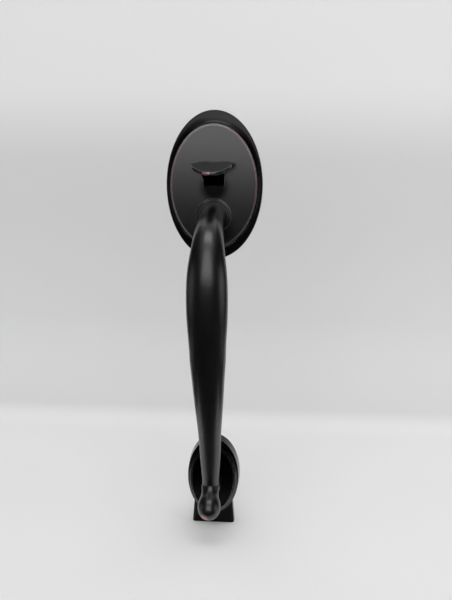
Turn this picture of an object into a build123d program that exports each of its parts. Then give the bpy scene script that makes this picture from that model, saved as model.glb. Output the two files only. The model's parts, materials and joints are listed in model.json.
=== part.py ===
from build123d import *
from math import cos, pi, radians, sin, tan
import os

os.makedirs("parts", exist_ok=True)

# Frame: the door's outer face is the plane Y = 0, the handleset stands out of it towards -Y,
# and the mechanism reaches into the door's bore towards +Y. The origin is the middle of the
# upper rosette, on the axis of the spindle. All sizes are in millimetres, and a raise is a
# height above the door.

# Upper rosette: an oval with a low side wall, a cove and a sharp bead round its face
rosette_width = 71.2
rosette_height = 108.8
rosette_side_wall = 3.6
rosette_edge_round = 0.7
rosette_bead_raise = 8.7
rosette_bead_width = 0.9
rosette_bead_stand = 0.5
cove_side_width = 3.9
cove_end_width = 10.0
rosette_wall = 2.2
rosette_lip = 2.4

# Root pad, where the grip stands on the upper rosette
root_drop = 21.5
root_pad_radius = 12.6
root_pad_stand = 1.8
root_pad_round = 1.0

# Grip: its centre line leaves the pad level, turns down past the swell and comes back in
grip_root_radius = 9.2
grip_neck_width = 16.8
grip_neck_depth = 16.8
grip_swell_width = 28.9
grip_swell_depth = 23.0
grip_swell_raise = 59.0
grip_swell_drop = 65.0
grip_shoulder = 31.0
grip_waist_width = 14.0
grip_waist_depth = 13.6
grip_foot_raise = 31.5
grip_foot_drop = 226.6

# Tail of the grip, a drop that kicks out of the foot and swells to a round end
tail_root_drop = 225.0
tail_root_radius = 6.9
tail_neck_radius = 6.5
tail_neck_share = 0.35
tail_ball_radius = 8.6
tail_ball_length = 9.5
tail_ball_raise = 44.0
tail_ball_drop = 235.9

# Lower boss of the grip
boss_radius = 6.8

# Lower rosette: a deep oval cup with a stepped moulding
lower_drop = 226.6
cup_width = 41.0
cup_height = 63.8
cup_side_wall = 10.4
cup_shoulder = 1.0
cup_edge_round = 0.6
cup_raise = 16.0
cup_cove_side_width = 1.9
cup_cove_end_width = 3.7
cup_rim_width = 0.9
cup_face_recess = 1.2
cup_wall = 1.9
cup_spacer_radius = 8.6

# Lower bracket: a tapered block that shows under the cup
bracket_foot = 40.1
bracket_head = 10.0
bracket_width = 33.0
bracket_draft = 4.2
bracket_thickness = 8.8
bracket_chamfer = 1.5
bracket_clearance = 0.35

# Thumbpiece: its pivot lies just behind the rosette's face, its tail reaches in to the slide
pivot_height = 13.0
pivot_depth = -3.0
pivot_pin_radius = 1.5
running_gap = 0.05
barrel_radius = 3.0
barrel_length = 11.8
shank_width = 10.6
shank_thickness = 5.0
arm_bottom = 0.5
arm_width = 13.6
arm_spread = 0.3
arm_corner = 1.6
arm_setback = 1.0
paddle_slope = 15.3
paddle_width = 29.6
paddle_thickness = 2.5
paddle_dish = 1.7
paddle_corner = 2.2
paddle_edge_round = 0.9
paddle_back_raise = 17.0
paddle_back_height = 17.6
paddle_lip_raise = 40.0
paddle_run_out = 8.0
shank_run_out = 11.0
shank_corner = 1.5
paddle_back_width = 16.0
tail_width = 8.0
tail_thickness = 2.6
press_angle = 16.0
slot_gap = 0.4
slot_corner = 2.6

# Chassis plate, screwed to bosses in the back of the upper rosette
plate_side_margin = 7.1
plate_end_margin = 10.4
plate_thickness = 2.0
plate_recess = 0.5
plate_boss_radius = 4.0
plate_screw_x = 13.0
plate_screw_margin = 9.5
plate_screw_radius = 2.0
plate_screw_head_radius = 3.8
plate_screw_length = 6.2

# Mechanism frame, a stamped box behind the plate
frame_half_width = 12.6
frame_sheet = 1.5
frame_back = 16.5
frame_bottom = -13.0
frame_top = 20.0
ear_bottom = 9.6
ear_reach = 2.4
ear_nose = 1.5
foot_reach = 7.4
foot_height = 6.2
top_foot_width = 11.0
top_foot_height = 5.2
tab_reach = 1.7
tab_height = 4.5
frame_screw_radius = 1.5
frame_screw_head_radius = 2.3
frame_screw_head_height = 1.5
frame_screw_driver = 0.7
frame_screw_point = 0.6

# Lift slide
slide_thickness = 1.5
slide_depth = 10.55
slide_side_gap = 0.5
slide_window_gap = 0.28
slide_top_bar = 1.4
slide_band_bottom = 4.4
slide_leg_width = 8.0
slide_leg_bottom = -6.5

# Spindle hub with its crank pin, bushing, washer and ring
crank_radius = 7.0
crank_pin_radius = 1.6
crank_slot_gap = 0.3
crank_disc_radius = 9.0
crank_disc_thickness = 2.0
disc_gap = 0.5
hub_radius = 5.0
bushing_wall = 1.4
bushing_flange_radius = 8.0
bushing_float = 0.2
bushing_stand = 0.4
washer_thickness = 0.5
ring_thickness = 0.9
ring_outer_radius = 6.6
groove_depth = 0.6
hub_tail = 5.5

# Spindle, a flat blade that turns the latch
spindle_width = 6.4
spindle_thickness = 2.4
spindle_end = 58.0
spindle_tip = 5.0
spindle_gap = 0.1
cross_pin_radius = 0.75

# Through-bolt posts
post_spacing = 38.0
post_radius = 3.6
post_flange_radius = 5.0
post_flange_thickness = 1.5
post_end = 27.0
post_bore_radius = 2.1
post_bore_length = 22.0
post_spigot_radius = 2.5
post_peen_radius = 3.4
post_peen_height = 0.9

# Grip root screw and its lock washer
root_screw_radius = 3.0
root_screw_head_radius = 5.0
root_screw_head_height = 2.6
root_screw_reach = 12.0
root_screw_driver = 1.2
root_washer_thickness = 1.0
root_hole_gap = 0.3
access_gap = 1.0

# Lower post, which clamps bracket and cup to the grip's boss
stud_radius = 4.0
stud_reach = 10.5
stud_gap = 0.3
collar_radius = 7.0
collar_flats = 12.0
collar_height = 3.0
collar_gap = 0.8
lower_washer_thickness = 0.8
sleeve_radius = 4.2
sleeve_end = 20.0
sleeve_bore_radius = 2.1
sleeve_bore_length = 17.0

# A thread's crests stand this far clear of the wall that stands in for its mate
thread_gap = 0.04
press_gap = 0.02

# Torsion spring on the pivot pin
spring_wire_radius = 0.42
spring_coil_radius = 2.3
spring_pitch = 0.92
spring_coils = 3.5
spring_leg = 7.5
spring_lean = 11.5
spring_hook = 4.0
spring_side_gap = 0.5
spring_rest_gap = 0.1

# Sizes that follow from the ones above
root_z = -root_drop
lower_z = -lower_drop
face_raise = rosette_bead_raise - rosette_bead_stand
inner_raise = face_raise - rosette_wall
plate_width = rosette_width - 2 * plate_side_margin
plate_height = rosette_height - 2 * plate_end_margin
plate_screw_z = plate_height / 2 - plate_screw_margin
root_seat_raise = face_raise + root_pad_stand
plate_back = -plate_recess
plate_front = plate_back - plate_thickness


def door(raise_):
    """Plane parallel to the door and in front of it, facing the same way as the face."""
    return Plane.XZ.offset(raise_)


def oval(half_width, half_height, raise_, middle=0):
    """Upright oval this far in front of the door, with its middle at this height."""
    with BuildSketch(door(raise_)) as outline:
        with Locations((0, middle)):
            Ellipse(half_width, half_height)
    return outline.sketch


def cove_ovals(outer, inner, start, finish, middle=0):
    """Ovals up a quarter hollow, which leaves the wall nearly level and ends upright."""
    steps = 6
    rings = []
    for step in range(steps + 1):
        angle = pi / 2 * step / steps
        half_width = between(outer[0], inner[0], sin(angle))
        half_height = between(outer[1], inner[1], sin(angle))
        raise_ = between(start, finish, 1 - cos(angle))
        rings.append(oval(half_width, half_height, raise_, middle))
    return rings


def between(first, second, share):
    return first + (second - first) * share


def save(piece, name):
    piece.part.label = name
    export_step(piece.part, f"parts/{name}.step")


def pan_screw(head_radius, head_height, shank_radius, shank_length, driver):
    """Pan-head screw at each current place, its head's seat there and its point along the normal."""
    Cylinder(head_radius, head_height * 0.6, align=(Align.CENTER, Align.CENTER, Align.MAX))
    with Locations((0, 0, -head_height * 0.6)):
        Cone(
            head_radius * 0.72,
            head_radius,
            head_height * 0.4,
            align=(Align.CENTER, Align.CENTER, Align.MAX),
        )
    Cylinder(shank_radius, shank_length, align=(Align.CENTER, Align.CENTER, Align.MIN))
    with Locations((0, 0, -head_height)):
        for length, width in ((driver * 3.2, driver), (driver, driver * 3.2)):
            Box(
                length,
                width,
                head_height * 0.5,
                align=(Align.CENTER, Align.CENTER, Align.MIN),
                mode=Mode.SUBTRACT,
            )


# Upper rosette
wall_draft = 0.3
half_width = rosette_width / 2
half_height = rosette_height / 2
bead_half_width = half_width - cove_side_width
bead_half_height = half_height - cove_end_width
slot_swing = (face_raise + pivot_depth + slot_gap) * tan(radians(press_angle))
slot_bottom = arm_bottom - slot_gap - slot_swing
slot_top = pivot_height + shank_thickness / 2 + slot_gap
arm_plunge = (pivot_height - arm_bottom) * tan(radians(press_angle))
slot_half_width = arm_width / 2 + arm_plunge * arm_spread / 2 + slot_gap
lip_half_width = half_width - rosette_lip
lip_half_height = half_height - rosette_lip

with BuildPart() as upper_rosette:
    loft(
        [
            oval(half_width, half_height, 0),
            oval(half_width - wall_draft, half_height - wall_draft, rosette_side_wall),
        ],
        ruled=True,
    )
    loft(
        cove_ovals(
            (half_width - wall_draft, half_height - wall_draft),
            (bead_half_width, bead_half_height),
            rosette_side_wall,
            face_raise,
        )
    )
    shoulder = upper_rosette.edges().filter_by_position(
        Axis.Y, -rosette_side_wall - 0.01, -rosette_side_wall + 0.01
    )
    fillet(shoulder, rosette_edge_round)
    # the bead round the face
    with BuildSketch(door(face_raise)):
        Ellipse(bead_half_width, bead_half_height)
        Ellipse(
            bead_half_width - rosette_bead_width,
            bead_half_height - rosette_bead_width,
            mode=Mode.SUBTRACT,
        )
    extrude(amount=rosette_bead_stand)
    # the round pad that the grip's root stands on
    with BuildSketch(door(face_raise)):
        with Locations((0, root_z)):
            Circle(root_pad_radius)
    extrude(amount=root_pad_stand)
    pad_rim = upper_rosette.edges().filter_by(GeomType.CIRCLE).group_by(Axis.Y)[0]
    fillet(pad_rim, root_pad_round)
    # the hollow back, with the bosses that take the chassis screws left standing
    loft(
        [
            oval(lip_half_width, lip_half_height, 0),
            oval(bead_half_width - rosette_wall, bead_half_height - rosette_wall, inner_raise),
        ],
        ruled=True,
        mode=Mode.SUBTRACT,
    )
    with BuildSketch(door(-plate_front)):
        with GridLocations(2 * plate_screw_x, 2 * plate_screw_z, 2, 2):
            Circle(plate_boss_radius)
    extrude(amount=inner_raise + plate_front + rosette_wall / 2)
    with BuildSketch(door(-plate_front)):
        with GridLocations(2 * plate_screw_x, 2 * plate_screw_z, 2, 2):
            Circle(plate_screw_radius + thread_gap)
    extrude(amount=plate_screw_length - plate_thickness + 0.3, mode=Mode.SUBTRACT)
    # the hole for the grip's root screw
    with BuildSketch(door(0)):
        with Locations((0, root_z)):
            Circle(root_screw_radius + root_hole_gap)
    extrude(amount=root_seat_raise + 1, mode=Mode.SUBTRACT)
    # the slot that the thumbpiece works in
    with BuildSketch(door(0)):
        with Locations((0, (slot_top + slot_bottom) / 2)):
            RectangleRounded(2 * slot_half_width, slot_top - slot_bottom, slot_corner)
    extrude(amount=rosette_bead_raise + 1, mode=Mode.SUBTRACT)
save(upper_rosette, "upper_rosette")

# Grip
grip_seat = root_seat_raise
boss_seat = cup_raise - cup_face_recess


def grip_section(curve, share, width, depth):
    """Oval section of the grip, square to its centre line at this share of the curve."""
    point = curve.position_at(share)
    heading = curve.tangent_at(share)
    with BuildSketch(Plane(origin=point, x_dir=(1, 0, 0), z_dir=heading)) as section:
        Ellipse(width / 2, depth / 2)
    return section.sketch


with BuildLine() as upper_curve:
    Bezier(
        (0, -grip_seat, root_z),
        (0, -grip_seat - grip_shoulder, root_z),
        (0, -grip_swell_raise, -grip_swell_drop + grip_shoulder),
        (0, -grip_swell_raise, -grip_swell_drop),
    )
with BuildLine() as lower_curve:
    lower_length = grip_foot_drop - grip_swell_drop
    Bezier(
        (0, -grip_swell_raise, -grip_swell_drop),
        (0, -grip_swell_raise, -grip_swell_drop - lower_length * 0.4),
        (0, -grip_foot_raise, -grip_foot_drop + lower_length * 0.27),
        (0, -grip_foot_raise, -grip_foot_drop),
    )

# share of the way along each curve, and share of the full width reached there
upper_growth = (
    (0.12, 0.0),
    (0.27, 0.06),
    (0.4, 0.18),
    (0.52, 0.33),
    (0.63, 0.49),
    (0.74, 0.67),
    (0.86, 0.86),
    (1.0, 0.97),
)
lower_waning = (
    (0.1, 0.99),
    (0.18, 0.92),
    (0.3, 0.79),
    (0.4, 0.665),
    (0.5, 0.525),
    (0.6, 0.37),
    (0.74, 0.17),
    (0.87, 0.045),
    (1.0, 0.0),
)

with BuildPart() as grip:
    sections = [grip_section(upper_curve.edge(), 0, 2 * grip_root_radius, 2 * grip_root_radius)]
    for share, growth in upper_growth:
        width = between(grip_neck_width, grip_swell_width, growth)
        depth = between(grip_neck_depth, grip_swell_depth, growth)
        sections.append(grip_section(upper_curve.edge(), share, width, depth))
    for share, waning in lower_waning:
        width = between(grip_waist_width, grip_swell_width, waning)
        depth = between(grip_waist_depth, grip_swell_depth, waning)
        sections.append(grip_section(lower_curve.edge(), share, width, depth))
    loft(sections)
    # the foot ends in a dome that the boss and the tail's neck spring from
    with Locations((0, -grip_foot_raise, -grip_foot_drop)):
        Sphere(grip_waist_depth / 2)
    # lower boss, back to the cup
    with BuildSketch(door(boss_seat)):
        with Locations((0, lower_z)):
            Circle(boss_radius)
    extrude(amount=grip_foot_raise - boss_seat)
    # tail, turned about the line from inside the foot to the middle of its round end
    tail_root = Vector(0, -grip_foot_raise, -tail_root_drop)
    ball = Vector(0, -tail_ball_raise, -tail_ball_drop)
    kick = ball - tail_root
    with BuildSketch(Plane(origin=tail_root, x_dir=kick, z_dir=(1, 0, 0))):
        with BuildLine():
            flank = Spline(
                (0, tail_root_radius),
                (kick.length * tail_neck_share, tail_neck_radius),
                (kick.length, tail_ball_radius),
                tangents=((1, -0.1), (1, 0)),
            )
            EllipticalCenterArc((kick.length, 0), tail_ball_length, tail_ball_radius, 0, arc_size=90)
            Polyline((kick.length + tail_ball_length, 0), (0, 0), flank @ 0)
        make_face()
    revolve(axis=Axis(tail_root, kick))
    # hole for the root screw and the thread for the lower post
    with BuildSketch(door(grip_seat)):
        with Locations((0, root_z)):
            Circle(root_screw_radius + thread_gap)
    extrude(amount=root_screw_reach + 0.5, mode=Mode.SUBTRACT)
    with BuildSketch(door(boss_seat)):
        with Locations((0, lower_z)):
            Circle(stud_radius + thread_gap)
    extrude(amount=stud_reach + 0.5, mode=Mode.SUBTRACT)
save(grip, "grip")

# Lower rosette
cup_half_width = cup_width / 2
cup_half_height = cup_height / 2
cup_draft = 0.5
rim_half_width = cup_half_width - cup_draft - cup_shoulder - cup_cove_side_width
rim_half_height = cup_half_height - cup_draft - cup_shoulder - cup_cove_end_width
cup_face = cup_raise - cup_face_recess
cup_inner = cup_face - cup_wall
bracket_slope = tan(radians(bracket_draft))
bracket_bottom_half = bracket_width / 2
bracket_top_half = bracket_bottom_half - (bracket_foot + bracket_head) * bracket_slope


def bracket_half(height):
    """Half the bracket's width at this height from the middle of the cup."""
    return bracket_bottom_half - (bracket_foot + height) * bracket_slope


with BuildPart() as lower_rosette:
    loft(
        [
            oval(cup_half_width, cup_half_height, 0, lower_z),
            oval(cup_half_width - cup_draft, cup_half_height - cup_draft, cup_side_wall, lower_z),
        ],
        ruled=True,
    )
    cup_shoulder_edge = lower_rosette.edges().group_by(Axis.Y)[0]
    fillet(cup_shoulder_edge, cup_edge_round)
    loft(
        cove_ovals(
            (cup_half_width - cup_draft - cup_shoulder, cup_half_height - cup_draft - cup_shoulder),
            (rim_half_width, rim_half_height),
            cup_side_wall,
            cup_face,
            lower_z,
        )
    )
    # the rim round the sunken face
    with BuildSketch(door(cup_face)):
        with Locations((0, lower_z)):
            Ellipse(rim_half_width, rim_half_height)
            Ellipse(rim_half_width - cup_rim_width, rim_half_height - cup_rim_width, mode=Mode.SUBTRACT)
    extrude(amount=cup_face_recess)
    # the hollow, with the spacer that bears on the bracket left standing in it
    loft(
        [
            oval(cup_half_width - cup_wall, cup_half_height - cup_wall, 0, lower_z),
            oval(rim_half_width - cup_wall, rim_half_height - cup_wall, cup_inner, lower_z),
        ],
        ruled=True,
        mode=Mode.SUBTRACT,
    )
    with BuildSketch(door(bracket_thickness)):
        with Locations((0, lower_z)):
            Circle(cup_spacer_radius)
    extrude(amount=cup_face - bracket_thickness - cup_wall / 2)
    with BuildSketch(door(bracket_thickness - 1)):
        with Locations((0, lower_z)):
            Circle(stud_radius + stud_gap)
    extrude(amount=cup_raise, mode=Mode.SUBTRACT)
    # the notch that the bracket comes out through
    notch_top = -cup_spacer_radius
    notch_bottom = -cup_half_height - 5
    with BuildSketch(door(-1)):
        with BuildLine():
            top_half = bracket_half(notch_top) + bracket_clearance
            bottom_half = bracket_half(notch_bottom) + bracket_clearance
            Polyline(
                (-top_half, lower_z + notch_top),
                (top_half, lower_z + notch_top),
                (bottom_half, lower_z + notch_bottom),
                (-bottom_half, lower_z + notch_bottom),
                close=True,
            )
        make_face()
    extrude(amount=1 + bracket_thickness + bracket_clearance, mode=Mode.SUBTRACT)
save(lower_rosette, "lower_rosette")

# Lower bracket
with BuildPart() as lower_bracket:
    with BuildSketch(door(0)):
        with BuildLine():
            Polyline(
                (-bracket_top_half, lower_z + bracket_head),
                (bracket_top_half, lower_z + bracket_head),
                (bracket_bottom_half, lower_z - bracket_foot),
                (-bracket_bottom_half, lower_z - bracket_foot),
                close=True,
            )
        make_face()
    extrude(amount=bracket_thickness)
    long_edges = lower_bracket.edges().group_by(Axis.Y)[0].sort_by(Axis.Z)[1:]
    chamfer(long_edges, bracket_chamfer)
    seat_depth = collar_height + lower_washer_thickness
    with BuildSketch(door(0)):
        with Locations((0, lower_z)):
            Circle(collar_radius + collar_gap)
    extrude(amount=seat_depth, mode=Mode.SUBTRACT)
    with BuildSketch(door(0)):
        with Locations((0, lower_z)):
            Circle(stud_radius + stud_gap)
    extrude(amount=bracket_thickness, mode=Mode.SUBTRACT)
save(lower_bracket, "lower_bracket")

# Lower washer and post
with BuildPart() as lower_washer:
    with BuildSketch(door(collar_height)):
        with Locations((0, lower_z)):
            Circle(collar_radius)
            Circle(stud_radius + stud_gap, mode=Mode.SUBTRACT)
    extrude(amount=lower_washer_thickness)
save(lower_washer, "lower_washer")

with BuildPart() as lower_post:
    with BuildSketch(door(0)):
        with Locations((0, lower_z)):
            Circle(collar_radius)
            Rectangle(2 * collar_radius, collar_flats, mode=Mode.INTERSECT)
    extrude(amount=collar_height)
    with BuildSketch(door(collar_height)):
        with Locations((0, lower_z)):
            Circle(stud_radius)
    extrude(amount=boss_seat - collar_height + stud_reach)
    stud_end = lower_post.edges().group_by(Axis.Y)[0]
    chamfer(stud_end, 0.6)
    with BuildSketch(door(-sleeve_end)):
        with Locations((0, lower_z)):
            Circle(sleeve_radius)
    extrude(amount=sleeve_end)
    sleeve_edge = lower_post.edges().group_by(Axis.Y)[-1]
    chamfer(sleeve_edge, 0.4)
    with BuildSketch(door(-sleeve_end)):
        with Locations((0, lower_z)):
            Circle(sleeve_bore_radius)
    extrude(amount=sleeve_bore_length, mode=Mode.SUBTRACT)
save(lower_post, "lower_post")

# Grip root screw and washer
washer_back = inner_raise - root_washer_thickness
with BuildPart() as grip_root_washer:
    with BuildSketch(door(washer_back)):
        with Locations((0, root_z)):
            Circle(root_screw_head_radius)
            Circle(root_screw_radius + root_hole_gap, mode=Mode.SUBTRACT)
    extrude(amount=root_washer_thickness)
save(grip_root_washer, "grip_root_washer")

with BuildPart() as grip_root_screw:
    root_screw_length = root_seat_raise - washer_back + root_screw_reach
    with Locations(Plane(origin=(0, -washer_back, root_z), x_dir=(1, 0, 0), z_dir=(0, -1, 0))):
        pan_screw(
            root_screw_head_radius,
            root_screw_head_height,
            root_screw_radius,
            root_screw_length,
            root_screw_driver,
        )
save(grip_root_screw, "grip_root_screw")

# Thumbpiece
pivot = Vector(0, pivot_depth, pivot_height)
half_press = radians(press_angle) / 2
slide_reach = (slide_depth - pivot_depth) / cos(half_press)
slide_back = slide_depth + slide_thickness / 2
slide_front = slide_depth - slide_thickness / 2
tail_end = (slide_back - pivot_depth + 1.0) / cos(half_press)
slope = radians(paddle_slope)
paddle_half = paddle_width / 2
paddle_middle = paddle_lip_raise - paddle_half



def arm_section(raise_, width, bottom, top):
    """Rounded section of the thumbpiece's arm, parallel to the door."""
    with BuildSketch(door(raise_)) as section:
        with Locations((0, (top + bottom) / 2)):
            RectangleRounded(width, top - bottom, min(arm_corner, (top - bottom) * 0.4))
    return section.sketch


with BuildPart() as thumbpiece:
    # dished blade, drawn square to its slope and run out past its outline
    back_point = (
        0,
        -paddle_back_raise + paddle_run_out * cos(slope),
        paddle_back_height + paddle_run_out * sin(slope),
    )
    section_plane = Plane(origin=back_point, x_dir=(1, 0, 0), z_dir=(0, -cos(slope), -sin(slope)))
    wide = paddle_half + 2
    rise = paddle_dish * (wide / paddle_half) ** 2
    with BuildSketch(section_plane):
        with BuildLine():
            ThreePointArc((-wide, rise), (0, 0), (wide, rise))
            Line((wide, rise), (wide, rise - paddle_thickness))
            ThreePointArc(
                (wide, rise - paddle_thickness),
                (0, -paddle_thickness),
                (-wide, rise - paddle_thickness),
            )
            Line((-wide, rise - paddle_thickness), (-wide, rise))
        make_face()
    extrude(amount=paddle_lip_raise)
    # half-moon outline seen from above
    with BuildSketch(Plane.XY.offset(-paddle_lip_raise)) as paddle_outline:
        with BuildLine():
            left = Line((-paddle_half, -paddle_middle), (-paddle_back_width / 2, -paddle_back_raise))
            back = Line(left @ 1, (paddle_back_width / 2, -paddle_back_raise))
            right = Line(back @ 1, (paddle_half, -paddle_middle))
            ThreePointArc(right @ 1, (0, -paddle_lip_raise), left @ 0)
        make_face()
        fillet(paddle_outline.vertices(), paddle_corner)
    extrude(amount=3 * paddle_lip_raise, mode=Mode.INTERSECT)
    rim_edges = thumbpiece.edges().filter_by(GeomType.LINE, reverse=True)
    fillet(rim_edges, paddle_edge_round)
    # shank from the blade in to the pivot
    blade_under = paddle_thickness / cos(slope)
    with BuildSketch(Plane.YZ.offset(-shank_width / 2)):
        with BuildLine():
            half_shank = shank_thickness / 2
            under_start = (
                -paddle_back_raise - shank_run_out,
                paddle_back_height - shank_run_out * tan(slope) - blade_under * 0.6,
            )
            Polyline(
                (pivot_depth, pivot_height + half_shank),
                (-face_raise - shank_corner, pivot_height + half_shank),
                (-paddle_back_raise - 0.6, paddle_back_height - 0.6),
                under_start,
            )
            ThreePointArc(
                under_start,
                (-paddle_back_raise - 3, pivot_height - half_shank * 0.9),
                (-face_raise - shank_corner, pivot_height - half_shank),
            )
            Polyline(
                (-face_raise - shank_corner, pivot_height - half_shank),
                (pivot_depth, pivot_height - half_shank),
                (pivot_depth, pivot_height + half_shank),
            )
        make_face()
    extrude(amount=shank_width)
    # arm, which fills the corner under the blade and dips into the slot as the thumb presses
    arm_start = face_raise - arm_setback
    arm_end = between(paddle_back_raise, paddle_lip_raise, 0.6)
    arm_top = pivot_height + half_shank
    arm_sections = []
    for share, sink in ((0, 1), (0.25, 0.58), (0.55, 0.24), (1, 0)):
        raise_ = between(arm_start, arm_end, share)
        blade_top = paddle_back_height - (raise_ - paddle_back_raise) * tan(slope)
        blade_bottom = blade_top - blade_under
        end_bottom = paddle_back_height - (arm_end - paddle_back_raise) * tan(slope) - blade_under
        bottom = between(end_bottom + 0.3, arm_bottom, sink)
        top = min(arm_top, blade_top - blade_under * 0.3)
        width = arm_width + arm_spread * (raise_ - arm_start)
        arm_sections.append(arm_section(raise_, width, bottom, top))
    loft(arm_sections)
    # pivot barrel
    with BuildSketch(Plane.YZ.offset(-barrel_length / 2)):
        with Locations((pivot_depth, pivot_height)):
            Circle(barrel_radius)
    extrude(amount=barrel_length)
    # tail, which lies below level at rest by half of the press
    tail_plane = Plane(
        origin=pivot - Vector(tail_width / 2, 0, 0),
        x_dir=(0, cos(half_press), -sin(half_press)),
        z_dir=(1, 0, 0),
    )
    with BuildSketch(tail_plane):
        with Locations((tail_end / 2, 0)):
            Rectangle(tail_end, tail_thickness)
    extrude(amount=tail_width)
    tail_tip = thumbpiece.edges().filter_by(Axis.X).group_by(Axis.Y)[-1]
    fillet(tail_tip, 0.6)
    with BuildSketch(Plane.YZ.offset(-barrel_length / 2)):
        with Locations((pivot_depth, pivot_height)):
            Circle(pivot_pin_radius + running_gap)
    extrude(amount=barrel_length, mode=Mode.SUBTRACT)
save(thumbpiece, "thumbpiece")

# Pivot pin and its clip
ear_outside = frame_half_width
pin_head_radius = 2.4
pin_head_thickness = 1.0
clip_thickness = 0.6
clip_play = 0.15
pin_end = ear_outside + clip_play + clip_thickness + 1.0
pin_groove_radius = pivot_pin_radius - 0.4

with BuildPart() as thumb_pivot_pin:
    with BuildSketch(Plane.YZ.offset(-ear_outside - pin_head_thickness)):
        with Locations((pivot_depth, pivot_height)):
            Circle(pin_head_radius)
    extrude(amount=pin_head_thickness)
    with BuildSketch(Plane.YZ.offset(-ear_outside)):
        with Locations((pivot_depth, pivot_height)):
            Circle(pivot_pin_radius)
    extrude(amount=ear_outside + pin_end)
    with BuildSketch(Plane.YZ.offset(ear_outside + clip_play)):
        with Locations((pivot_depth, pivot_height)):
            Circle(pivot_pin_radius + 1)
            Circle(pin_groove_radius, mode=Mode.SUBTRACT)
    extrude(amount=clip_thickness, mode=Mode.SUBTRACT)
    chamfer(thumb_pivot_pin.edges().group_by(Axis.X)[-1], 0.3)
save(thumb_pivot_pin, "thumb_pivot_pin")

with BuildPart() as pivot_pin_clip:
    with BuildSketch(Plane.YZ.offset(ear_outside + clip_play + 0.05)):
        with Locations((pivot_depth, pivot_height)):
            Circle(pin_head_radius)
            Circle(pin_groove_radius + thread_gap, mode=Mode.SUBTRACT)
            with Locations((0, pin_head_radius)):
                Rectangle(pin_groove_radius * 1.5, 2 * pin_head_radius, mode=Mode.SUBTRACT)
    extrude(amount=clip_thickness - 0.1)
save(pivot_pin_clip, "pivot_pin_clip")

# Chassis plate
ear_top = frame_top - frame_sheet
window_gap = 0.5
post_x = post_spacing / 2
foot_screw_x = frame_half_width + foot_reach / 2
foot_screw_z = frame_bottom + foot_height / 2
top_screw_z = frame_top + top_foot_height / 2
frame_screw_places = ((-foot_screw_x, foot_screw_z), (foot_screw_x, foot_screw_z), (0, top_screw_z))

with BuildPart() as chassis_plate:
    with BuildSketch(door(-plate_back)):
        Ellipse(plate_width / 2, plate_height / 2)
        with Locations((0, (ear_bottom + ear_top) / 2)):
            Rectangle(
                2 * (pin_end + window_gap),
                ear_top - ear_bottom + 2 * window_gap,
                mode=Mode.SUBTRACT,
            )
        with Locations((0, root_z)):
            Circle(root_screw_head_radius + access_gap, mode=Mode.SUBTRACT)
        with Locations((-post_x, 0), (post_x, 0)):
            Circle(post_spigot_radius + press_gap, mode=Mode.SUBTRACT)
        with Locations(*frame_screw_places):
            Circle(frame_screw_radius + thread_gap, mode=Mode.SUBTRACT)
    extrude(amount=plate_thickness)
    # countersunk holes for the chassis screws
    with Locations(Plane(origin=(0, plate_back, 0), x_dir=(-1, 0, 0), z_dir=(0, 1, 0))):
        with GridLocations(2 * plate_screw_x, 2 * plate_screw_z, 2, 2):
            CounterSinkHole(
                radius=plate_screw_radius + 0.2,
                counter_sink_radius=plate_screw_head_radius + 0.1,
                counter_sink_angle=90,
            )
save(chassis_plate, "chassis_plate")

# Chassis screws, flush with the back of the plate
with BuildPart() as chassis_screws:
    with Locations(Plane(origin=(0, plate_back, 0), x_dir=(1, 0, 0), z_dir=(0, -1, 0))):
        with GridLocations(2 * plate_screw_x, 2 * plate_screw_z, 2, 2):
            cone = plate_screw_head_radius - plate_screw_radius
            Cone(
                plate_screw_head_radius,
                plate_screw_radius,
                cone,
                align=(Align.CENTER, Align.CENTER, Align.MIN),
            )
            Cylinder(
                plate_screw_radius,
                plate_screw_length,
                align=(Align.CENTER, Align.CENTER, Align.MIN),
            )
            Box(1, 4.4, 0.9, align=(Align.CENTER, Align.CENTER, Align.MIN), mode=Mode.SUBTRACT)
            Box(4.4, 1, 0.9, align=(Align.CENTER, Align.CENTER, Align.MIN), mode=Mode.SUBTRACT)
save(chassis_screws, "chassis_screws")

# Mechanism frame
frame_inside = frame_half_width - frame_sheet
wall_front = frame_back - frame_sheet
bushing_radius = hub_radius + running_gap + bushing_wall
tab_back = slide_front - 0.3
lean = radians(spring_lean)
spring_tab_depth = spring_leg * 0.75 + pivot_depth
spring_tab_reach = spring_tab_depth - frame_sheet - pivot_depth
fixed_leg_height = pivot_height - (spring_coil_radius + spring_tab_reach * sin(lean)) / cos(lean)
spring_tab_bottom = fixed_leg_height + spring_wire_radius / cos(lean) + spring_rest_gap

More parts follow.
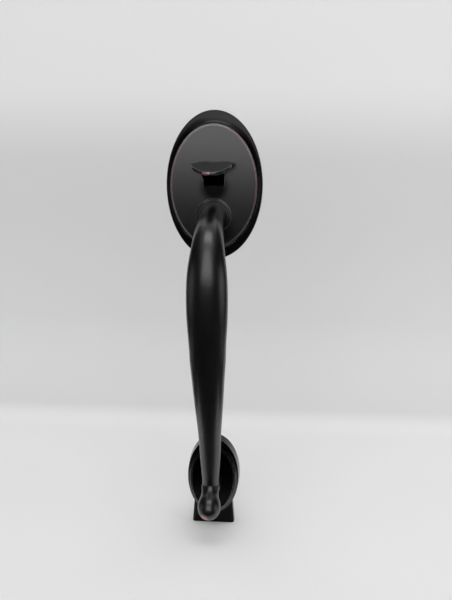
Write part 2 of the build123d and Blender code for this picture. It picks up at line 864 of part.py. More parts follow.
with BuildPart() as mechanism_frame:
    # back wall and side walls, bent from one strip
    with BuildSketch(Plane.XY.offset(frame_bottom)):
        with BuildLine():
            Polyline(
                (-frame_half_width, plate_back),
                (-frame_half_width, frame_back),
                (frame_half_width, frame_back),
                (frame_half_width, plate_back),
                (frame_inside, plate_back),
                (frame_inside, wall_front),
                (-frame_inside, wall_front),
                (-frame_inside, plate_back),
                close=True,
            )
        make_face()
    extrude(amount=frame_top - frame_bottom)
    # roof
    with BuildSketch(Plane.XY.offset(ear_top)):
        with Locations((0, (plate_back + frame_back) / 2)):
            Rectangle(2 * frame_half_width, frame_back - plate_back)
    extrude(amount=frame_sheet)
    # ears for the pivot pin, through the plate's window
    for ear_start in (-frame_half_width, frame_inside):
        with BuildSketch(Plane.YZ.offset(ear_start)):
            with BuildLine():
                Polyline(
                    (plate_back, ear_bottom),
                    (pivot_depth, ear_bottom),
                    (pivot_depth - ear_reach, pivot_height - ear_nose),
                    (pivot_depth - ear_reach, pivot_height + ear_nose),
                    (pivot_depth, ear_top),
                    (plate_back, ear_top),
                    close=True,
                )
            make_face()
        extrude(amount=frame_sheet)
    # feet
    with BuildSketch(door(-plate_back - frame_sheet)):
        with Locations((-foot_screw_x, foot_screw_z), (foot_screw_x, foot_screw_z)):
            Rectangle(foot_reach, foot_height)
        with Locations((0, top_screw_z)):
            Rectangle(top_foot_width, top_foot_height)
    extrude(amount=frame_sheet)
    # tabs that keep the slide back, and the one that holds the spring's fixed leg
    with BuildSketch(door(-tab_back)):
        with Locations((-frame_inside + tab_reach / 2, tab_height / 2), (frame_inside - tab_reach / 2, tab_height / 2)):
            Rectangle(tab_reach, tab_height)
    extrude(amount=frame_sheet)
    with BuildSketch(door(-spring_tab_depth)):
        with Locations((frame_inside - tab_reach / 2, spring_tab_bottom + frame_sheet / 2)):
            Rectangle(tab_reach, frame_sheet)
    extrude(amount=frame_sheet)
    # holes for the bushing, the pin and the screws
    with BuildSketch(door(-frame_back)):
        Circle(bushing_radius + press_gap)
    extrude(amount=frame_sheet, mode=Mode.SUBTRACT)
    with BuildSketch(Plane.YZ.offset(-frame_half_width)):
        with Locations((pivot_depth, pivot_height)):
            Circle(pivot_pin_radius + running_gap)
    extrude(amount=2 * frame_half_width, mode=Mode.SUBTRACT)
    with BuildSketch(door(-plate_back - frame_sheet)):
        with Locations(*frame_screw_places):
            Circle(frame_screw_radius + 0.2)
    extrude(amount=frame_sheet, mode=Mode.SUBTRACT)
save(mechanism_frame, "mechanism_frame")

# Frame screws
with BuildPart() as frame_screws:
    foot_face = Plane(origin=(0, plate_back + frame_sheet, 0), x_dir=(1, 0, 0), z_dir=(0, -1, 0))
    with Locations(foot_face):
        with Locations(*frame_screw_places):
            pan_screw(
                frame_screw_head_radius,
                frame_screw_head_height,
                frame_screw_radius,
                frame_sheet + plate_thickness + frame_screw_point,
                frame_screw_driver,
            )
save(frame_screws, "frame_screws")

# Lift slide
slide_half = frame_inside - slide_side_gap
window_z = pivot_height - slide_reach * sin(half_press)
window_half = (tail_thickness / cos(half_press) + slide_thickness * tan(half_press)) / 2 + slide_window_gap
slide_top = window_z + window_half + slide_top_bar
crank_z = -crank_radius * sin(radians(press_angle))
crank_x = -crank_radius * cos(radians(press_angle))
slot_x = (crank_x - crank_radius) / 2
slot_height = 2 * (crank_pin_radius + crank_slot_gap)
slot_length = slot_height + crank_radius + crank_x

with BuildPart() as lift_slide:
    with BuildSketch(door(-slide_back)):
        with BuildLine():
            Polyline(
                (-slide_half, slide_top),
                (slide_half, slide_top),
                (slide_half, slide_band_bottom),
                (-slide_half + slide_leg_width, slide_band_bottom),
                (-slide_half + slide_leg_width, slide_leg_bottom),
                (-slide_half, slide_leg_bottom),
                close=True,
            )
        make_face()
        with Locations((0, window_z)):
            Rectangle(tail_width + 2 * slide_window_gap, 2 * window_half, mode=Mode.SUBTRACT)
        with Locations((slot_x, crank_z)):
            SlotOverall(slot_length, slot_height, mode=Mode.SUBTRACT)
    extrude(amount=slide_thickness)
    fillet(lift_slide.edges().filter_by(Axis.Y).group_by(Axis.Z)[0], 1.0)
save(lift_slide, "lift_slide")

# Hub, bushing, washer and ring
disc_front = slide_back + disc_gap
disc_back = disc_front + crank_disc_thickness
flange_front = disc_back + bushing_float
bushing_end = frame_back + bushing_stand
ring_front = bushing_end + 0.1 + washer_thickness + 0.1
ring_back = ring_front + ring_thickness
hub_end = ring_back + hub_tail
groove_radius = hub_radius - groove_depth

with BuildPart() as hub_bushing:
    with BuildSketch(door(-bushing_end)):
        Circle(bushing_radius)
        Circle(hub_radius + running_gap, mode=Mode.SUBTRACT)
    extrude(amount=bushing_end - flange_front)
    with BuildSketch(door(-wall_front)):
        Circle(bushing_flange_radius)
        Circle(hub_radius + running_gap, mode=Mode.SUBTRACT)
    extrude(amount=wall_front - flange_front)
save(hub_bushing, "hub_bushing")

with BuildPart() as spindle_hub:
    with BuildSketch(door(-disc_back)):
        Circle(crank_disc_radius)
    extrude(amount=crank_disc_thickness)
    with BuildSketch(door(-hub_end)):
        Circle(hub_radius)
    extrude(amount=hub_end - disc_back)
    chamfer(spindle_hub.edges().group_by(Axis.Y)[-1], 0.5)
    with BuildSketch(door(-disc_front)):
        with Locations((crank_x, crank_z)):
            Circle(crank_pin_radius)
    extrude(amount=disc_front - slide_front + 0.9)
    # groove for the ring
    with BuildSketch(door(-ring_back - 0.05)):
        Circle(hub_radius + 1)
        Circle(groove_radius, mode=Mode.SUBTRACT)
    extrude(amount=ring_thickness + 0.1, mode=Mode.SUBTRACT)
    # socket for the blade and the hole for the cross pin
    with BuildSketch(door(-hub_end)):
        Rectangle(spindle_thickness + 2 * spindle_gap, spindle_width + 2 * spindle_gap)
    extrude(amount=hub_end - disc_front - 1, mode=Mode.SUBTRACT)
    with BuildSketch(Plane.YZ.offset(-hub_radius)):
        with Locations((hub_end - hub_tail / 2, 0)):
            Circle(cross_pin_radius + press_gap)
    extrude(amount=2 * hub_radius, mode=Mode.SUBTRACT)
save(spindle_hub, "spindle_hub")

with BuildPart() as hub_washer:
    with BuildSketch(door(-bushing_end - 0.1 - washer_thickness)):
        Circle(ring_outer_radius)
        Circle(hub_radius + running_gap, mode=Mode.SUBTRACT)
    extrude(amount=washer_thickness)
save(hub_washer, "hub_washer")

with BuildPart() as hub_retaining_ring:
    with BuildSketch(door(-ring_back)):
        Circle(ring_outer_radius)
        Circle(groove_radius + thread_gap, mode=Mode.SUBTRACT)
        with Locations((0, -ring_outer_radius)):
            Rectangle(groove_radius, 2 * ring_outer_radius, mode=Mode.SUBTRACT)
    extrude(amount=ring_thickness)
save(hub_retaining_ring, "hub_retaining_ring")

# Spindle blade and its cross pin
with BuildPart() as spindle:
    blade_start = disc_front + 1.5
    with BuildSketch(Plane.YZ.offset(-spindle_thickness / 2)):
        with BuildLine():
            Polyline(
                (blade_start, -spindle_width / 2),
                (spindle_end - spindle_tip, -spindle_width / 2),
                (spindle_end, -spindle_width / 4),
                (spindle_end, spindle_width / 4),
                (spindle_end - spindle_tip, spindle_width / 2),
                (blade_start, spindle_width / 2),
                close=True,
            )
        make_face()
    extrude(amount=spindle_thickness)
    with BuildSketch(Plane.YZ.offset(-spindle_thickness)):
        with Locations((hub_end - hub_tail / 2, 0)):
            Circle(cross_pin_radius + press_gap)
    extrude(amount=2 * spindle_thickness, mode=Mode.SUBTRACT)
save(spindle, "spindle")

with BuildPart() as spindle_cross_pin:
    with BuildSketch(Plane.YZ.offset(-hub_radius + 0.1)):
        with Locations((hub_end - hub_tail / 2, 0)):
            Circle(cross_pin_radius)
    extrude(amount=2 * hub_radius - 0.2)
save(spindle_cross_pin, "spindle_cross_pin")

# Through-bolt posts
with BuildPart() as through_bolt_posts:
    with BuildSketch(door(-post_end)):
        with GridLocations(post_spacing, 0, 2, 1):
            Circle(post_radius)
    extrude(amount=post_end + plate_recess)
    chamfer(through_bolt_posts.edges().group_by(Axis.Y)[-1], 0.5)
    with BuildSketch(door(-plate_back - post_flange_thickness)):
        with GridLocations(post_spacing, 0, 2, 1):
            Circle(post_flange_radius)
    extrude(amount=post_flange_thickness)
    with BuildSketch(door(-plate_back)):
        with GridLocations(post_spacing, 0, 2, 1):
            Circle(post_spigot_radius)
    extrude(amount=plate_thickness)
    with BuildSketch(door(-plate_front)):
        with GridLocations(post_spacing, 0, 2, 1):
            Circle(post_peen_radius)
    extrude(amount=post_peen_height)
    fillet(through_bolt_posts.edges().group_by(Axis.Y)[0], 0.5)
    with BuildSketch(door(-post_end)):
        with GridLocations(post_spacing, 0, 2, 1):
            Circle(post_bore_radius)
    extrude(amount=post_bore_length, mode=Mode.SUBTRACT)
save(through_bolt_posts, "through_bolt_posts")

# Thumb return spring: its free leg lies over the tail, its fixed leg under the frame's tab
spring_start = barrel_length / 2 + spring_side_gap + spring_wire_radius
spring_middle = Vector(spring_start, pivot_depth, pivot_height)

with BuildLine() as upright_coil:
    Helix(
        spring_pitch,
        spring_pitch * spring_coils,
        spring_coil_radius,
        center=spring_middle,
        direction=(1, 0, 0),
    )
coil = upright_coil.line.rotate(Axis(spring_middle, (1, 0, 0)), -spring_lean).edge()
free_leg_end = coil @ 0 - coil % 0 * spring_leg
hook_end = free_leg_end - Vector(spring_hook, 0, 0)

with BuildLine() as spring_wire:
    FilletPolyline(hook_end, free_leg_end, coil @ 0, radius=2 * spring_wire_radius)
    add(coil)
    Line(coil @ 1, coil @ 1 + coil % 1 * spring_leg)

with BuildPart() as thumb_return_spring:
    with BuildSketch(Plane(origin=hook_end, z_dir=(1, 0, 0))):
        Circle(spring_wire_radius)
    sweep(path=spring_wire.wire())
save(thumb_return_spring, "thumb_return_spring")
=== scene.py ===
import json
import math

import bpy
from mathutils import Matrix, Vector


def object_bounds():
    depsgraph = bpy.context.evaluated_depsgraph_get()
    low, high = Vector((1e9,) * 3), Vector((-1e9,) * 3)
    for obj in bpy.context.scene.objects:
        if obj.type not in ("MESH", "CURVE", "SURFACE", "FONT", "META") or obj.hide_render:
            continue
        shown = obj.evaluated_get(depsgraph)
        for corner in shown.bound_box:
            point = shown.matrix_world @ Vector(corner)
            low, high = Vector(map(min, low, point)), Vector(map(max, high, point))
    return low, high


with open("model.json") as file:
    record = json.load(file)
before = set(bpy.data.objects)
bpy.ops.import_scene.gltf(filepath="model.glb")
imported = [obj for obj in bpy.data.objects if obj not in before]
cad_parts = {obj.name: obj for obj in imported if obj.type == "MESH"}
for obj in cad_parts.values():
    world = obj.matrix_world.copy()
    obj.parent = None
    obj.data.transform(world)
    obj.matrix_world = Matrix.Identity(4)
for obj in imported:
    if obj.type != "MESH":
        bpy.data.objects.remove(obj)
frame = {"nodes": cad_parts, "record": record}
cad_low, cad_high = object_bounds()

# Lengths are metres in the frame's axes and colours are linear, unless a name says otherwise.
MM = 0.001

# Camera, fitted to the outlines in the photo
IMAGE_LONG_SIDE = 600
FOCAL_PIXELS = 743.0
CAMERA_PLACE = Vector((49.6, -552.4, 33.1)) * MM
CAMERA_YAW = math.radians(4.23)
CAMERA_PITCH = math.radians(12.17)
CAMERA_ROLL = math.radians(0.27)
SENSOR_WIDTH_MM = 36.0
CLIP_START = 0.01
CLIP_END = 20.0

# Noises: scale per metre, detail, roughness
BRONZE_CLOUD = (60.0, 5.0, 0.6)
BRONZE_MOTTLE = (340.0, 4.0, 0.65)
BRONZE_GRAIN = (2600.0, 3.0, 0.7)
WORN_PATCHES = (95.0, 6.0, 0.7)
METAL_CLOUD = (120.0, 5.0, 0.6)
PAINT_GRAIN = (900.0, 3.0, 0.6)
CARD_WEAVE = (500.0, 4.0, 0.55)
METAL_GRAIN_DETAIL = 3.0
METAL_GRAIN_ROUGHNESS = 0.7

# Noise values between which a share goes from 0 to 1
BRONZE_CLOUD_RANGE = (0.32, 0.68)
WORN_PATCHES_RANGE = (0.3, 0.52)
METAL_CLOUD_RANGE = (0.3, 0.7)

# Bronze: colours, then how the surface takes light
BRONZE_DARK = (0.0018, 0.0015, 0.0015)
BRONZE_LIGHT = (0.0044, 0.0034, 0.0033)
POLISHED_EDGE = (0.50, 0.45, 0.445)
COPPER = (0.42, 0.19, 0.205)
BRONZE_SPECULAR_LEVEL = 1.0
MOTTLE_ROUGHNESS = 0.06
GRAIN_HEIGHT_SHARE = 0.6
BRONZE_BUMP_STRENGTH = 0.05
BRONZE_BUMP_DEPTH = 0.00008
EDGE_METALLIC = 0.8
COPPER_METALLIC = 0.6

# Bronze: how edges and spots are found
EDGE_RADIUS = 0.0006
EDGE_SAMPLES = 6
SPOT_CORE = 0.4
HEIGHT_BORDER = 0.001

# Other metals
METAL_ROUGHNESS_SPREAD = 0.2
METAL_BUMP_STRENGTH = 0.3

# Places where hands and polish have rubbed the patina: centre and reach
BEAD_WEAR = (
    ((-0.031, -0.008, 0.012), 0.026),
    ((0.031, -0.008, 0.006), 0.030),
    ((0.020, -0.008, 0.036), 0.014),
)
LIP_WEAR = (
    ((-0.0045, -0.0394, 0.0107), 0.0012),
    ((-0.0028, -0.0398, 0.0106), 0.0012),
    ((-0.0010, -0.0399, 0.0106), 0.0012),
)
TAIL_WEAR = (((-0.0027, -0.050, -0.2408), 0.0042),)

# Painted shade round the thumbpiece's slot, nearly black where the thumbpiece shades the face:
# centre and reach
SLOT_PAINTED_SHADE = ((0.0005, -0.008, -0.001), 0.0135)
SLOT_SHADE_BLACKNESS = 0.9

# Faces of the two ovals, measured from their outlines
COVE_SIDE_WIDTH = 0.0039
COVE_END_WIDTH = 0.0100
CUP_FACE_SHARE = 0.83
FACE_SOFTNESS = 0.03
# How far above the cup's middle the painted sheen on its lower rim fades out
CUP_SHINE_RISE = 0.022

# Stage: a pale floor that sweeps up into a wall some way behind the object
FLOOR_GAP = 0.0002
FLOOR_FRONT = -1.4
WALL_DEPTH = 0.28
WALL_TOP = 1.3
STAGE_HALF_WIDTH = 1.6
BEND_RADIUS = 0.1
BEND_STEPS = 24
FLOOR_PAINT = (0.84, 0.84, 0.835)
WALL_PAINT = (0.60, 0.60, 0.60)
# The wall's paler foot and top are painted light
LOW_WALL_PAINTED_LIGHT = (0.665, 0.665, 0.665)
HIGH_WALL_PAINTED_LIGHT = (0.74, 0.74, 0.735)
FLOOR_PAINT_RISE = 0.012
LOW_WALL_RANGE = (-0.03, -0.21)
HIGH_WALL_RANGE = (0.0, 0.1)
PAINT_ROUGHNESS = 0.9
PAINT_BUMP_STRENGTH = 0.05
PAINT_BUMP_DEPTH = 0.0002

# Lamps: name, place, target, size, watts, and whether reflections show it
LAMPS = (
    ("room_front", (0.05, -1.5, 0.77), (0.05, 0.0, 0.77), (1.3, 1.6), 8.4, True),
    ("fill_front", (0.1, -1.5, 0.77), (0.1, 0.0, 0.77), (2.4, 1.6), 7.0, False),
    ("soft_top", (0.05, -0.42, 1.15), (0.05, 0.0, 0.0), (0.9, 0.5), 3.3, True),
    ("fill_top", (0.05, -0.3, 1.25), (0.05, 0.0, -0.1), (1.6, 1.0), 5.0, False),
    ("low_right", (0.75, -0.15, -0.12), (0.0, 0.0, -0.2), (0.35, 0.22), 0.9, True),
    ("low_left", (-0.75, -0.15, -0.12), (0.0, 0.0, -0.2), (0.35, 0.22), 0.5, True),
)
WORLD_COLOUR = (0.98, 0.99, 1.0, 1.0)
WORLD_STRENGTH = 0.3

# Cards that stand for the dark room in front of the table, seen only by reflections
CARD_DARK = (0.004, 0.004, 0.004)
CARD_LIGHT = (0.008, 0.008, 0.008)
CARD_ROUGHNESS = 1.0
CARD_RISE = 0.001
CARD_NEAR = -0.075
CARD_FAR = -1.3
FRONT_HALF_WIDTH = 0.63
SIDE_INNER = 0.15
SIDE_OUTER = 0.3
SIDE_OUTER_FAR = 0.6
SIDE_FLOOR_BACK = 0.1
SIDE_WALL_BACK = 0.2
SIDE_WALL_TOP = 0.4
FAR_HALF_WIDTH = 1.0
FAR_TOP = -0.11


# Node material helpers
def new_material(name):
    material = bpy.data.materials.new(name)
    material.use_nodes = True
    tree = material.node_tree
    tree.nodes.clear()
    output = tree.nodes.new("ShaderNodeOutputMaterial")
    shader = tree.nodes.new("ShaderNodeBsdfPrincipled")
    tree.links.new(shader.outputs["BSDF"], output.inputs["Surface"])
    return material, tree, shader


def node(tree, kind, **settings):
    made = tree.nodes.new(kind)
    for key, value in settings.items():
        setattr(made, key, value)
    return made


def math_node(tree, operation, *values):
    """One Math node. Each value is a number or another node's output."""
    made = node(tree, "ShaderNodeMath", operation=operation)
    for socket, value in zip(made.inputs, values):
        if isinstance(value, (int, float)):
            socket.default_value = value
        else:
            tree.links.new(value, socket)
    return made.outputs[0]


def times(tree, first, second):
    return math_node(tree, "MULTIPLY", first, second)


def rest_of(tree, share):
    return math_node(tree, "SUBTRACT", 1.0, share)


def largest(tree, values):
    found = values[0]
    for value in values[1:]:
        found = math_node(tree, "MAXIMUM", found, value)
    return found


def noise(tree, vector, scale, detail, roughness):
    made = node(tree, "ShaderNodeTexNoise")
    made.inputs["Scale"].default_value = scale
    made.inputs["Detail"].default_value = detail
    made.inputs["Roughness"].default_value = roughness
    tree.links.new(vector, made.inputs["Vector"])
    return made.outputs["Fac"]


def ramp(tree, value, none_at, full_at):
    """0 where the value is at or beyond none_at, 1 at or beyond full_at, smooth between."""
    made = node(tree, "ShaderNodeMapRange", clamp=True, interpolation_type="SMOOTHSTEP")
    made.inputs["From Min"].default_value = none_at
    made.inputs["From Max"].default_value = full_at
    tree.links.new(value, made.inputs["Value"])
    return made.outputs["Result"]


def blend_colour(tree, share, first, second):
    """The first colour at share 0, the second at 1. Each is a tuple or an output."""
    made = node(tree, "ShaderNodeMix", data_type="RGBA")
    tree.links.new(share, made.inputs["Factor"])
    for socket, value in ((made.inputs[6], first), (made.inputs[7], second)):
        if isinstance(value, tuple):
            socket.default_value = (*value, 1.0)
        else:
            tree.links.new(value, socket)
    return made.outputs[2]


def coordinates(tree):
    return node(tree, "ShaderNodeTexCoord").outputs["Object"]


def bump(tree, shader, height, strength, distance):
    made = node(tree, "ShaderNodeBump")
    made.inputs["Strength"].default_value = strength
    made.inputs["Distance"].default_value = distance
    tree.links.new(height, made.inputs["Height"])
    tree.links.new(made.outputs["Normal"], shader.inputs["Normal"])


def convex_edges(tree):
    """How far the surface turns within the edge radius, 0 on flat ground."""
    rounded = node(tree, "ShaderNodeBevel", samples=EDGE_SAMPLES)
    rounded.inputs["Radius"].default_value = EDGE_RADIUS
    own_normal = node(tree, "ShaderNodeNewGeometry").outputs["Normal"]
    dot = node(tree, "ShaderNodeVectorMath", operation="DOT_PRODUCT")
    tree.links.new(rounded.outputs["Normal"], dot.inputs[0])
    tree.links.new(own_normal, dot.inputs[1])
    return rest_of(tree, dot.outputs["Value"])


def outside_oval(tree, place, centre, half_width, half_height):
    """0 inside this upright oval, 1 outside, with a soft border."""
    shift = node(tree, "ShaderNodeVectorMath", operation="SUBTRACT")
    shift.inputs[1].default_value = centre
    tree.links.new(place, shift.inputs[0])
    squash = node(tree, "ShaderNodeVectorMath", operation="MULTIPLY")
    squash.inputs[1].default_value = (1.0 / half_width, 0.0, 1.0 / half_height)
    tree.links.new(shift.outputs[0], squash.inputs[0])
    length = node(tree, "ShaderNodeVectorMath", operation="LENGTH")
    tree.links.new(squash.outputs[0], length.inputs[0])
    inside = ramp(tree, length.outputs["Value"], 1.0 + FACE_SOFTNESS, 1.0 - FACE_SOFTNESS)
    return rest_of(tree, inside)


def near(tree, place, centre, reach):
    """1 at this place, 0 beyond this reach."""
    distance = node(tree, "ShaderNodeVectorMath", operation="DISTANCE")
    distance.inputs[1].default_value = centre
    tree.links.new(place, distance.inputs[0])
    return ramp(tree, distance.outputs["Value"], reach, SPOT_CORE * reach)


def by_height(tree, place, none_at, full_at):
    """0 at the one height, 1 at the other."""
    axes = node(tree, "ShaderNodeSeparateXYZ")
    tree.links.new(place, axes.inputs[0])
    return ramp(tree, axes.outputs["Z"], none_at, full_at)


# Materials of the object
def bronze(
    name,
    gloss,
    edge_range=None,
    polish=1.0,
    worn_places=(),
    face=None,
    rim_dull=0.0,
    rim_black=0.0,
    rim_painted_sheen=None,
    painted_shade_round=None,
    painted_shade_below=None,
    black=None,
):
    """Dark bronze patina with a satin grain.

    Edges come up polished where convex_edges goes through edge_range, and worn_places show
    copper, on the edges alone where there is an edge_range. The rim is what lies outside the
    oval face. The rim sheen is painted: it gives the rim's lower part a share of polish that
    stands in for reflected light, and its argument gives that share and the heights where it
    begins and is full. The black arguments make the surface a nearly black metal, which lacks
    its clear reflection: in the rim, round a spot, below a height, or all over. Round a spot
    and below a height, this black is painted shade.
    """
    material, tree, shader = new_material(name)
    place = coordinates(tree)
    cloud = ramp(tree, noise(tree, place, *BRONZE_CLOUD), *BRONZE_CLOUD_RANGE)
    grain = noise(tree, place, *BRONZE_GRAIN)
    mottle = noise(tree, place, *BRONZE_MOTTLE)
    tone = blend_colour(tree, cloud, BRONZE_DARK, BRONZE_LIGHT)
    rough = math_node(tree, "MULTIPLY_ADD", mottle, MOTTLE_ROUGHNESS, gloss)
    metal_parts = []
    if edge_range is not None:
        edge = ramp(tree, convex_edges(tree), *edge_range)
        polish_and_sheen = times(tree, edge, polish)
    if face is not None:
        rim = outside_oval(tree, place, *face)
    if rim_dull:
        rough = math_node(tree, "MULTIPLY_ADD", rim, rim_dull, rough)
    if rim_black:
        metal_parts.append((rim, rim_black))
    # Painted sheen: a share of polish on the rim's lower part, standing in for reflected light
    if rim_painted_sheen is not None:
        share, shine_top, shine_base = rim_painted_sheen
        low = times(tree, rim, by_height(tree, place, shine_top, shine_base))
        polish_and_sheen = largest(tree, [polish_and_sheen, times(tree, low, share)])
    # Painted shade: nearly black metal round a spot, where the polish is taken away too
    if painted_shade_round is not None:
        spot = near(tree, place, *painted_shade_round)
        polish_and_sheen = times(tree, polish_and_sheen, rest_of(tree, spot))
        metal_parts.append((spot, SLOT_SHADE_BLACKNESS))
    # Painted shade: nearly black metal below a height
    if painted_shade_below is not None:
        border = (painted_shade_below + HEIGHT_BORDER, painted_shade_below - HEIGHT_BORDER)
        metal_parts.append((by_height(tree, place, *border), 1.0))
    if edge_range is not None:
        tone = blend_colour(tree, polish_and_sheen, tone, POLISHED_EDGE)
        metal_parts.append((polish_and_sheen, EDGE_METALLIC))
    if worn_places:
        patches = ramp(tree, noise(tree, place, *WORN_PATCHES), *WORN_PATCHES_RANGE)
        spots = largest(tree, [near(tree, place, *worn) for worn in worn_places])
        rub = times(tree, patches, spots)
        if edge_range is not None:
            rub = times(tree, rub, edge)
        tone = blend_colour(tree, rub, tone, COPPER)
        metal_parts.append((rub, COPPER_METALLIC))
    if black is None:
        metallic = largest(tree, [times(tree, part, share) for part, share in metal_parts])
        tree.links.new(metallic, shader.inputs["Metallic"])
    else:
        shader.inputs["Metallic"].default_value = black
    tree.links.new(tone, shader.inputs["Base Color"])
    tree.links.new(rough, shader.inputs["Roughness"])
    shader.inputs["Specular IOR Level"].default_value = BRONZE_SPECULAR_LEVEL
    height = math_node(tree, "MULTIPLY_ADD", grain, GRAIN_HEIGHT_SHARE, mottle)
    bump(tree, shader, height, BRONZE_BUMP_STRENGTH, BRONZE_BUMP_DEPTH)
    return material


def metal(name, dark, light, gloss, grain_scale, bump_depth):
    """Bare or plated metal for the pieces behind the rosettes."""
    material, tree, shader = new_material(name)
    place = coordinates(tree)
    cloud = ramp(tree, noise(tree, place, *METAL_CLOUD), *METAL_CLOUD_RANGE)
    grain = noise(tree, place, grain_scale, METAL_GRAIN_DETAIL, METAL_GRAIN_ROUGHNESS)
    tone = blend_colour(tree, cloud, dark, light)
    rough = math_node(tree, "MULTIPLY_ADD", grain, METAL_ROUGHNESS_SPREAD, gloss)
    tree.links.new(tone, shader.inputs["Base Color"])
    tree.links.new(rough, shader.inputs["Roughness"])
    shader.inputs["Metallic"].default_value = 1.0
    bump(tree, shader, grain, METAL_BUMP_STRENGTH, bump_depth)
    return material


def middle_and_half(name):
    """Middle of a node's box, and the way from there to its highest corner."""
    corners = [Vector(corner) for corner in frame["nodes"][name].bound_box]
    middle = sum(corners, Vector()) / len(corners)
    return middle, corners[6] - middle


rosette_middle, rosette_half = middle_and_half("upper_rosette")
rosette_face = (
    tuple(rosette_middle),
    rosette_half.x - COVE_SIDE_WIDTH,
    rosette_half.z - COVE_END_WIDTH,
)
cup_middle, cup_half = middle_and_half("lower_rosette")
cup_face = (tuple(cup_middle), cup_half.x * CUP_FACE_SHARE, cup_half.z * CUP_FACE_SHARE)

by_node = {
    "upper_rosette": bronze(
        "rosette_bronze",
        gloss=0.15,
        edge_range=(0.05, 0.16),
        worn_places=BEAD_WEAR,
        face=rosette_face,
        rim_dull=0.1,
        rim_black=0.65,
        # Painted shade: nearly black metal round the slot under the thumbpiece
        painted_shade_round=SLOT_PAINTED_SHADE,
    ),
    # Painted shade: below 8 mm the thumbpiece is nearly black metal, under its paddle
    "thumbpiece": bronze("thumb_bronze", gloss=0.2, worn_places=LIP_WEAR, painted_shade_below=0.008),
    "grip": bronze("grip_bronze", gloss=0.27, worn_places=TAIL_WEAR),
    "lower_rosette": bronze(
        "cup_bronze",
        gloss=0.2,
        edge_range=(0.08, 0.3),
        face=cup_face,
        # Painted sheen on the cup's lower rim, where it reflects the floor
        rim_painted_sheen=(0.18, cup_middle.z + CUP_SHINE_RISE, cup_middle.z),
        black=0.93,
    ),
    "lower_bracket": bronze(
        "bracket_bronze", gloss=0.2, edge_range=(0.1, 0.4), polish=0.4, black=0.9
    ),
    # Painted shade: the plate behind the thumbpiece's slot is nearly black, standing in for the
    # slot's dark inside
    "chassis_plate": metal(
        "plate_painted_shade", (0.010, 0.010, 0.010), (0.022, 0.022, 0.021), 0.4, 1400.0, 0.00004
    ),
}
by_slot = {
    "zinc_plated_steel": metal(
        "zinc_plate", (0.36, 0.35, 0.31), (0.5, 0.48, 0.42), 0.3, 1400.0, 0.00006
    ),
    "steel_fasteners": metal(
        "fastener_steel", (0.3, 0.3, 0.3), (0.46, 0.46, 0.45), 0.24, 1800.0, 0.00004
    ),
    "spring_steel": metal(
        "spring_steel", (0.06, 0.06, 0.065), (0.13, 0.13, 0.14), 0.28, 2200.0, 0.00003
    ),
    "hub_steel": metal(
        "turned_steel", (0.25, 0.25, 0.25), (0.38, 0.38, 0.37), 0.22, 2600.0, 0.00004
    ),
    "bushing_brass": metal(
        "turned_brass", (0.44, 0.31, 0.12), (0.56, 0.42, 0.19), 0.24, 2400.0, 0.00004
    ),
}
for entry in frame["record"]["subparts"]:
    if entry["node"] in by_node:
        finish = by_node[entry["node"]]
    else:
        finish = by_slot[entry["material_slot"]]
    piece = frame["nodes"][entry["node"]]
    piece.data.materials.clear()
    piece.data.materials.append(finish)


# Stage
def add_mesh(name, corners, faces, material):
    mesh = bpy.data.meshes.new(name)
    mesh.from_pydata(corners, [], faces)
    mesh.materials.append(material)
    made = bpy.data.objects.new(name, mesh)
    bpy.context.scene.collection.objects.link(made)
    return made


def stage_profile(floor_height):
    """Depth and height along the floor, round the bend and up the wall."""
    profile = [(FLOOR_FRONT, floor_height)]
    for step in range(BEND_STEPS + 1):
        angle = math.pi / 2 * step / BEND_STEPS
        depth = WALL_DEPTH - BEND_RADIUS + BEND_RADIUS * math.sin(angle)
        height = floor_height + BEND_RADIUS * (1 - math.cos(angle))
        profile.append((depth, height))
    profile.append((WALL_DEPTH, WALL_TOP))
    return profile


def stage_paint(floor_height):
    """Paint that is paler on the floor and at the wall's foot and top, and clear from behind. The
    paler foot and top of the wall are painted light.
    """
    material, tree, shader = new_material("stage_paint")
    place = coordinates(tree)
    wall = by_height(tree, place, floor_height, floor_height + FLOOR_PAINT_RISE)
    tone = blend_colour(tree, by_height(tree, place, *LOW_WALL_RANGE), WALL_PAINT, LOW_WALL_PAINTED_LIGHT)
    tone = blend_colour(tree, by_height(tree, place, *HIGH_WALL_RANGE), tone, HIGH_WALL_PAINTED_LIGHT)
    tone = blend_colour(tree, wall, FLOOR_PAINT, tone)
    tree.links.new(tone, shader.inputs["Base Color"])
    shader.inputs["Roughness"].default_value = PAINT_ROUGHNESS
    grain = noise(tree, place, *PAINT_GRAIN)
    bump(tree, shader, grain, PAINT_BUMP_STRENGTH, PAINT_BUMP_DEPTH)
    clear = node(tree, "ShaderNodeBsdfTransparent")
    behind = node(tree, "ShaderNodeNewGeometry").outputs["Backfacing"]
    chooser = node(tree, "ShaderNodeMixShader")
    output = next(made for made in tree.nodes if made.type == "OUTPUT_MATERIAL")
    tree.links.new(behind, chooser.inputs[0])
    tree.links.new(shader.outputs[0], chooser.inputs[1])
    tree.links.new(clear.outputs[0], chooser.inputs[2])
    tree.links.new(chooser.outputs[0], output.inputs["Surface"])
    return material


def sweep_stage():
    floor_height = cad_low.z - FLOOR_GAP
    corners = [
        (x, depth, height)
        for depth, height in stage_profile(floor_height)
        for x in (-STAGE_HALF_WIDTH, STAGE_HALF_WIDTH)
    ]
    faces = [(row, row + 1, row + 3, row + 2) for row in range(0, len(corners) - 2, 2)]
    stage = add_mesh("stage_sweep", corners, faces, stage_paint(floor_height))
    for polygon in stage.data.polygons:
        polygon.use_smooth = True


sweep_stage()


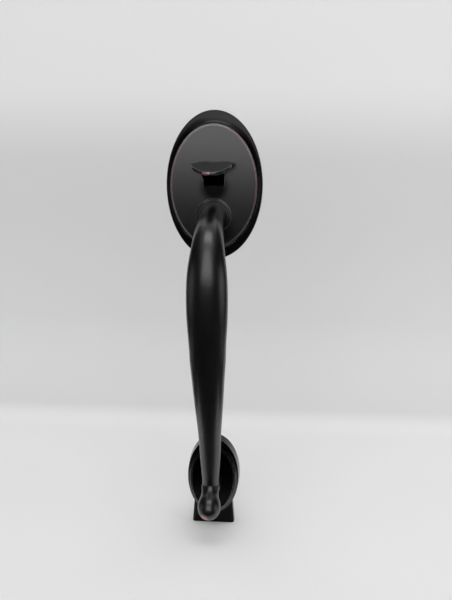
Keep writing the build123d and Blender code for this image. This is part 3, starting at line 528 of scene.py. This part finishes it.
# Lights
def area_light(name, place, target, size, power, mirrored):
    data = bpy.data.lights.new(name, "AREA")
    data.shape = "RECTANGLE"
    data.size, data.size_y = size
    data.energy = power
    lamp = bpy.data.objects.new(name, data)
    lamp.location = place
    lamp.rotation_mode = "QUATERNION"
    lamp.rotation_quaternion = (Vector(target) - Vector(place)).to_track_quat("-Z", "Y")
    lamp.visible_glossy = mirrored
    bpy.context.scene.collection.objects.link(lamp)


for lamp_values in LAMPS:
    area_light(*lamp_values)


# Dark cards
def dark_card(name, corners):
    material, tree, shader = new_material(name)
    weave = noise(tree, coordinates(tree), *CARD_WEAVE)
    tone = blend_colour(tree, weave, CARD_DARK, CARD_LIGHT)
    tree.links.new(tone, shader.inputs["Base Color"])
    shader.inputs["Roughness"].default_value = CARD_ROUGHNESS
    card = add_mesh(name, corners, [(0, 1, 2, 3)], material)
    card.visible_camera = False
    card.visible_diffuse = False
    card.visible_shadow = False
    card.visible_transmission = False


card_height = cad_low.z + CARD_RISE


def level_card(name, x_range, y_range):
    (x1, x2), (y1, y2) = x_range, y_range
    corners = ((x1, y1), (x2, y1), (x2, y2), (x1, y2))
    dark_card(name, [(x, y, card_height) for x, y in corners])


def upright_card(name, start, end, top):
    """A card that stands on the line between two points, each given as x and y."""
    dark_card(name, [(*start, card_height), (*end, card_height), (*end, top), (*start, top)])


level_card("dark_floor", (-FRONT_HALF_WIDTH, FRONT_HALF_WIDTH), (CARD_NEAR, CARD_FAR))
for side, side_name in ((-1, "left"), (1, "right")):
    level_card(
        "dark_floor_" + side_name,
        (side * SIDE_INNER, side * SIDE_OUTER),
        (CARD_NEAR, SIDE_FLOOR_BACK),
    )
    upright_card(
        "dark_side_" + side_name,
        (side * SIDE_OUTER_FAR, CARD_FAR),
        (side * SIDE_OUTER, SIDE_WALL_BACK),
        SIDE_WALL_TOP,
    )
upright_card("dark_wall", (-FAR_HALF_WIDTH, CARD_FAR), (FAR_HALF_WIDTH, CARD_FAR), FAR_TOP)

# World
world = bpy.data.worlds.new("soft_room")
bpy.context.scene.world = world
world.use_nodes = True
world_tree = world.node_tree
world_tree.nodes.clear()
sky = world_tree.nodes.new("ShaderNodeBackground")
sky.inputs["Color"].default_value = WORLD_COLOUR
sky.inputs["Strength"].default_value = WORLD_STRENGTH
world_out = world_tree.nodes.new("ShaderNodeOutputWorld")
world_tree.links.new(sky.outputs[0], world_out.inputs["Surface"])

# Camera
camera_data = bpy.data.cameras.new("camera")
camera = bpy.data.objects.new("camera", camera_data)
bpy.context.scene.collection.objects.link(camera)
bpy.context.scene.camera = camera
camera_data.sensor_width = SENSOR_WIDTH_MM
camera_data.lens = FOCAL_PIXELS * SENSOR_WIDTH_MM / IMAGE_LONG_SIDE
camera_data.clip_start = CLIP_START
camera_data.clip_end = CLIP_END
forward = Vector(
    (
        -math.sin(CAMERA_YAW) * math.cos(CAMERA_PITCH),
        math.cos(CAMERA_YAW) * math.cos(CAMERA_PITCH),
        -math.sin(CAMERA_PITCH),
    )
)
level_right = Vector((math.cos(CAMERA_YAW), math.sin(CAMERA_YAW), 0.0))
level_up = level_right.cross(forward)
right = math.cos(CAMERA_ROLL) * level_right + math.sin(CAMERA_ROLL) * level_up
up = math.cos(CAMERA_ROLL) * level_up - math.sin(CAMERA_ROLL) * level_right
camera.location = CAMERA_PLACE
camera.rotation_mode = "QUATERNION"
camera.rotation_quaternion = Matrix((right, up, -forward)).transposed().to_quaternion()

bpy.context.scene.view_settings.view_transform = "Standard"
